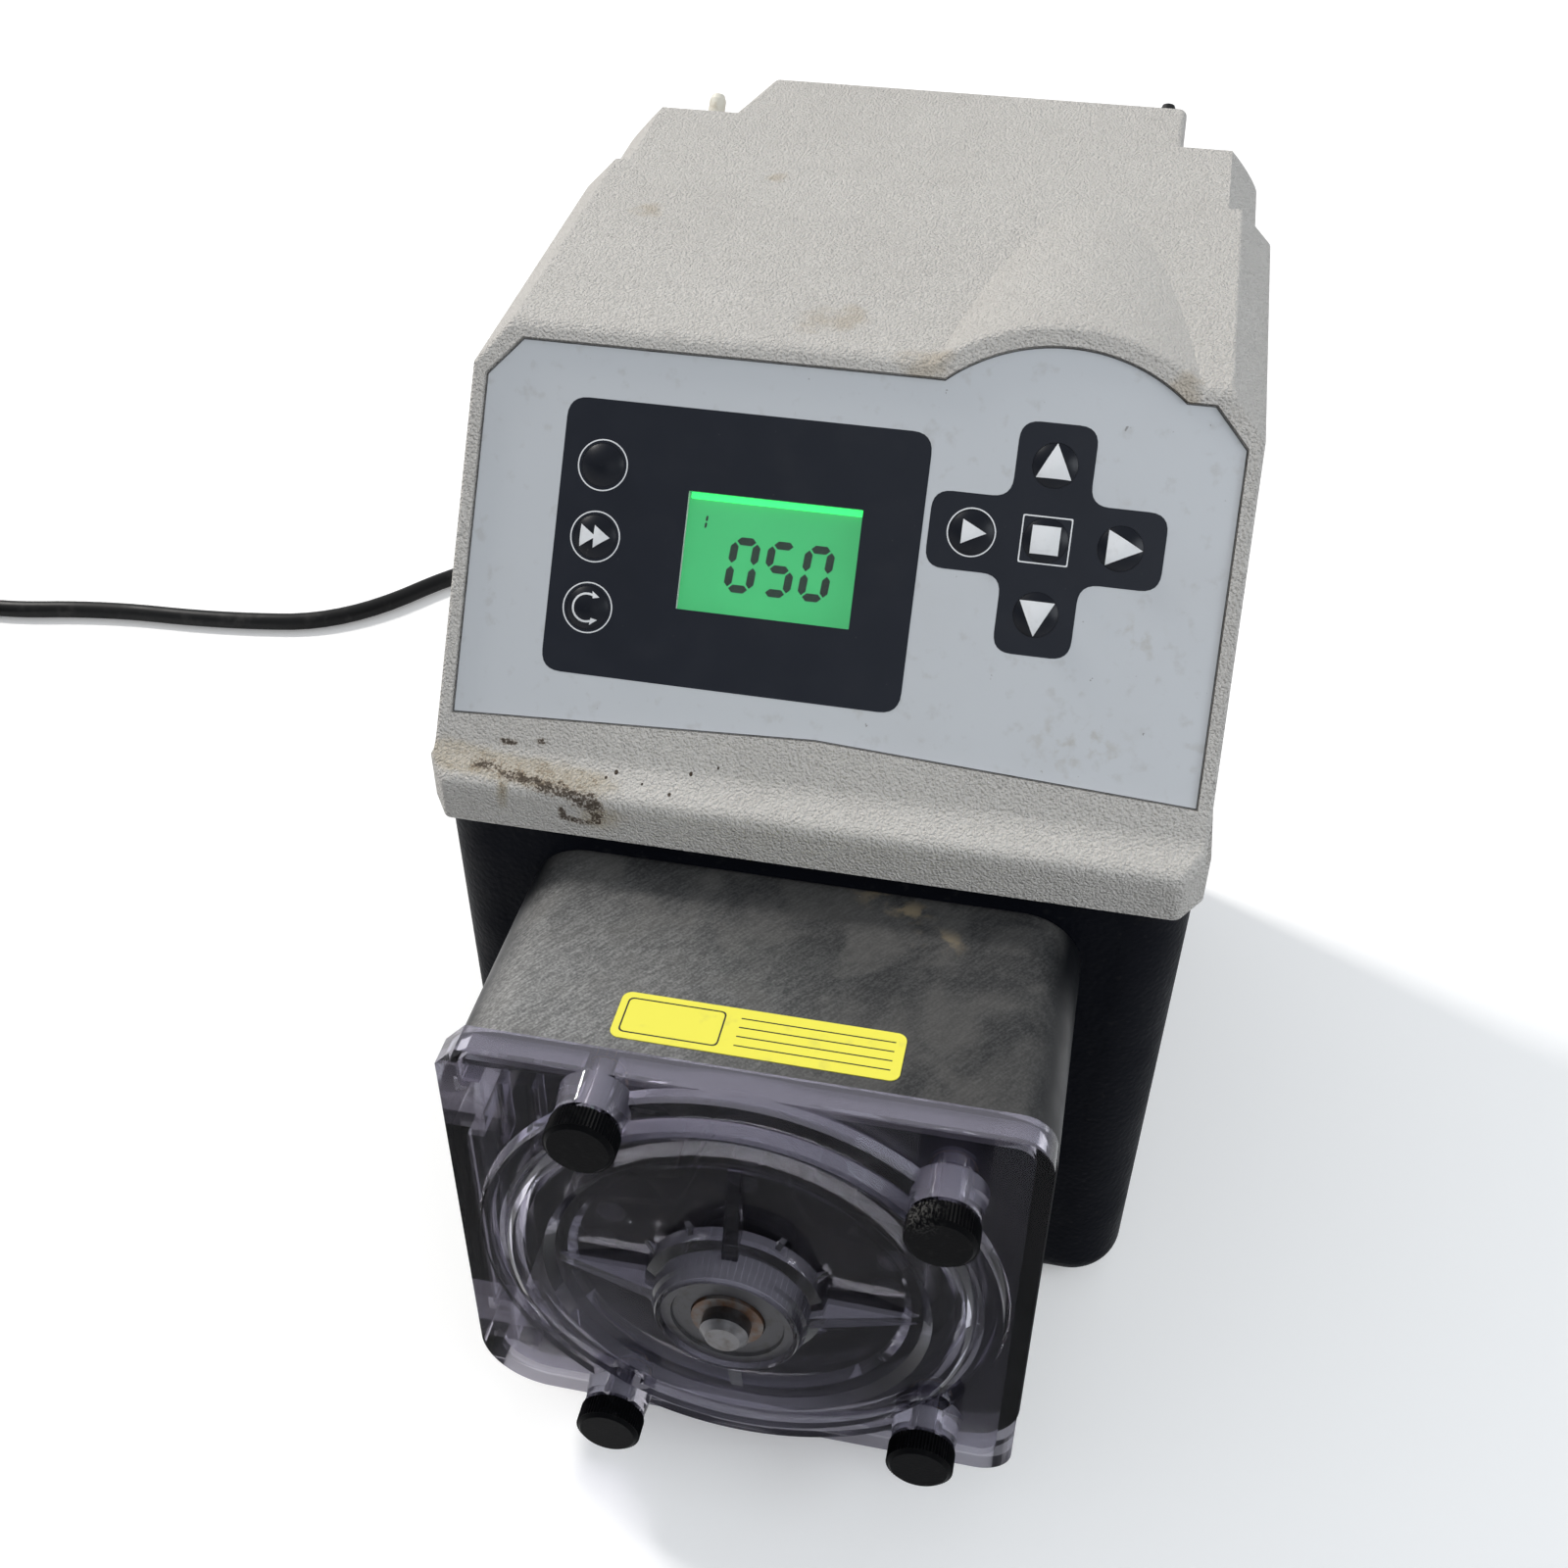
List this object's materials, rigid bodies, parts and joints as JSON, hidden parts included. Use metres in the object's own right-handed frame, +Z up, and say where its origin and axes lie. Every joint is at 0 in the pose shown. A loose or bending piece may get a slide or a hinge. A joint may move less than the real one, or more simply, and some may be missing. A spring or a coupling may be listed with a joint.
{
  "type": "peristaltic metering pump",
  "caption": "Bench peristaltic metering pump: grey panelled housing with lit display and keys, black base, roller head behind a clear cover, mains lead.",
  "frame": {"origin": "on the floor, under the middle of the pump's own width and depth, without its lead", "axes": "+Z up, the pump head and control panel face -Y, +X to the right seen from the front"},
  "size_m": [0.6674, 0.4824, 0.2863],
  "materials": {
    "housing_paint": "textured powder coat, light warm grey",
    "base_paint": "textured powder coat, black",
    "gasket_rubber": "soft black foam rubber",
    "foot_rubber": "matt black rubber",
    "screw_steel": "stainless steel",
    "overlay_film": "fine matt printed film, cool grey",
    "window_clear": "clear polycarbonate lens",
    "module_frame": "white diffuser frame",
    "display_green": "lit green liquid crystal display",
    "board_green": "green circuit board",
    "switch_plastic": "black switch bodies",
    "key_plastic": "domed dark keys",
    "bracket_steel": "zinc plated sheet steel",
    "case_aluminium": "die-cast aluminium",
    "bearing_steel": "ground bearing steel",
    "gear_steel": "cut steel",
    "motor_paint": "black motor can",
    "shaft_steel": "stainless steel shaft, slightly stained",
    "head_plastic": "black glass-filled plastic, dusty satin",
    "insert_brass": "brass thread insert",
    "label_yellow": "plain yellow film",
    "cover_clear": "clear polycarbonate with a faint violet tint",
    "knob_plastic": "black nylon knob",
    "rotor_metal": "anodised rotor plates",
    "roller_plastic": "dark nylon rollers",
    "connector_metal": "black connector body",
    "cap_white": "white nylon cap",
    "cap_black": "black nylon cap",
    "gland_plastic": "black nylon gland",
    "cord_rubber": "black cord jacket",
    "tie_plastic": "black tie",
    "plug_rubber": "moulded black plug",
    "pin_brass": "nickelled brass pins"
  },
  "bodies": {
    "housing": {"lower_housing": "base_paint", "housing_gasket": "gasket_rubber", "housing_screws": "screw_steel", "rubber_feet": "foot_rubber", "upper_housing": "housing_paint", "front_overlay": "overlay_film", "display_window": "window_clear", "display_module": "module_frame", "display_glass": "display_green", "control_board": "board_green", "tact_switches": "switch_plastic", "connector_sockets": "connector_metal", "motor_bracket": "bracket_steel", "gearbox_case": "case_aluminium", "gearbox_lid": "case_aluminium", "gearbox_screws": "screw_steel", "shaft_bearings": "bearing_steel", "motor_can": "motor_paint", "motor_end_cap": "motor_paint", "power_board": "board_green", "pump_head": "head_plastic", "leak_sensor_pins": "screw_steel", "head_screws": "screw_steel", "thread_inserts": "insert_brass", "shaft_seal": "gasket_rubber", "head_label": "label_yellow", "head_cover": "cover_clear", "cover_bearing_outer": "bearing_steel", "cord_gland": "gland_plastic", "cord_strain_relief": "cord_rubber", "power_cord": "cord_rubber", "power_cord_coil": "cord_rubber", "cord_tie": "tie_plastic", "plug_body": "plug_rubber", "plug_pins": "pin_brass", "connector_cap_left": "cap_white", "connector_cap_right": "cap_black"},
    "drive": {"drive_shaft": "shaft_steel", "output_gear": "gear_steel", "rotor": "rotor_metal", "roller_axles": "screw_steel", "cover_bearing_inner": "bearing_steel"},
    "middle_gear": {"middle_gear": "gear_steel"},
    "motor_pinion": {"motor_pinion": "gear_steel"},
    "menu_button": {"menu_button": "key_plastic"},
    "fast_button": {"fast_button": "key_plastic"},
    "reset_button": {"reset_button": "key_plastic"},
    "up_button": {"up_button": "key_plastic"},
    "down_button": {"down_button": "key_plastic"},
    "start_button": {"start_button": "key_plastic"},
    "right_button": {"right_button": "key_plastic"},
    "stop_button": {"stop_button": "key_plastic"},
    "squeeze_roller_right": {"squeeze_roller_right": "roller_plastic"},
    "squeeze_roller_left": {"squeeze_roller_left": "roller_plastic"},
    "guide_roller_top": {"guide_roller_top": "roller_plastic"},
    "guide_roller_bottom": {"guide_roller_bottom": "roller_plastic"},
    "thumb_screw_1": {"thumb_screw_1": "knob_plastic"},
    "thumb_screw_2": {"thumb_screw_2": "knob_plastic"},
    "thumb_screw_3": {"thumb_screw_3": "knob_plastic"},
    "thumb_screw_4": {"thumb_screw_4": "knob_plastic"}
  },
  "joints": [
    {"name": "rotor_turn", "type": "hinge", "parent": "housing", "child": "drive", "pos_m": [0, -0.13, 0.0889], "axis": [0, 1, 0], "continuous": true},
    {"name": "middle_gear_turn", "type": "hinge", "parent": "housing", "child": "middle_gear", "pos_m": [0.021, -0.055, 0.05253], "axis": [0, 1, 0], "continuous": true},
    {"name": "motor_pinion_turn", "type": "hinge", "parent": "housing", "child": "motor_pinion", "pos_m": [-0.009, -0.05, 0.05253], "axis": [0, 1, 0], "continuous": true},
    {"name": "squeeze_roller_right_spin", "type": "hinge", "parent": "drive", "child": "squeeze_roller_right", "pos_m": [0.038, -0.13, 0.0889], "axis": [0, 1, 0], "continuous": true},
    {"name": "squeeze_roller_left_spin", "type": "hinge", "parent": "drive", "child": "squeeze_roller_left", "pos_m": [-0.038, -0.13, 0.0889], "axis": [0, 1, 0], "continuous": true},
    {"name": "guide_roller_top_spin", "type": "hinge", "parent": "drive", "child": "guide_roller_top", "pos_m": [0, -0.13, 0.1219], "axis": [0, 1, 0], "continuous": true},
    {"name": "guide_roller_bottom_spin", "type": "hinge", "parent": "drive", "child": "guide_roller_bottom", "pos_m": [0, -0.13, 0.0559], "axis": [0, 1, 0], "continuous": true},
    {"name": "thumb_screw_1_turn", "type": "hinge", "parent": "housing", "child": "thumb_screw_1", "pos_m": [-0.0345, -0.17, 0.1492], "axis": [0, 1, 0], "continuous": true},
    {"name": "thumb_screw_2_turn", "type": "hinge", "parent": "housing", "child": "thumb_screw_2", "pos_m": [-0.0345, -0.17, 0.0286], "axis": [0, 1, 0], "continuous": true},
    {"name": "thumb_screw_3_turn", "type": "hinge", "parent": "housing", "child": "thumb_screw_3", "pos_m": [0.0516, -0.17, 0.1372], "axis": [0, 1, 0], "continuous": true},
    {"name": "thumb_screw_4_turn", "type": "hinge", "parent": "housing", "child": "thumb_screw_4", "pos_m": [0.0516, -0.17, 0.0406], "axis": [0, 1, 0], "continuous": true},
    {"name": "menu_button_press", "type": "slide", "parent": "housing", "child": "menu_button", "axis": [0, 0.8258, -0.564], "range_m": [0, 0.0006], "stiffness_N_per_m": 900},
    {"name": "fast_button_press", "type": "slide", "parent": "housing", "child": "fast_button", "axis": [0, 0.8258, -0.564], "range_m": [0, 0.0006], "stiffness_N_per_m": 900},
    {"name": "reset_button_press", "type": "slide", "parent": "housing", "child": "reset_button", "axis": [0, 0.8258, -0.564], "range_m": [0, 0.0006], "stiffness_N_per_m": 900},
    {"name": "up_button_press", "type": "slide", "parent": "housing", "child": "up_button", "axis": [0, 0.8258, -0.564], "range_m": [0, 0.0006], "stiffness_N_per_m": 900},
    {"name": "down_button_press", "type": "slide", "parent": "housing", "child": "down_button", "axis": [0, 0.8258, -0.564], "range_m": [0, 0.0006], "stiffness_N_per_m": 900},
    {"name": "start_button_press", "type": "slide", "parent": "housing", "child": "start_button", "axis": [0, 0.8258, -0.564], "range_m": [0, 0.0006], "stiffness_N_per_m": 900},
    {"name": "right_button_press", "type": "slide", "parent": "housing", "child": "right_button", "axis": [0, 0.8258, -0.564], "range_m": [0, 0.0006], "stiffness_N_per_m": 900},
    {"name": "stop_button_press", "type": "slide", "parent": "housing", "child": "stop_button", "axis": [0, 0.8258, -0.564], "range_m": [0, 0.0006], "stiffness_N_per_m": 900}
  ],
  "couplings": [
    {"joint": "middle_gear_turn", "follows": "rotor_turn", "ratio": -3},
    {"joint": "motor_pinion_turn", "follows": "rotor_turn", "ratio": 12}
  ]
}
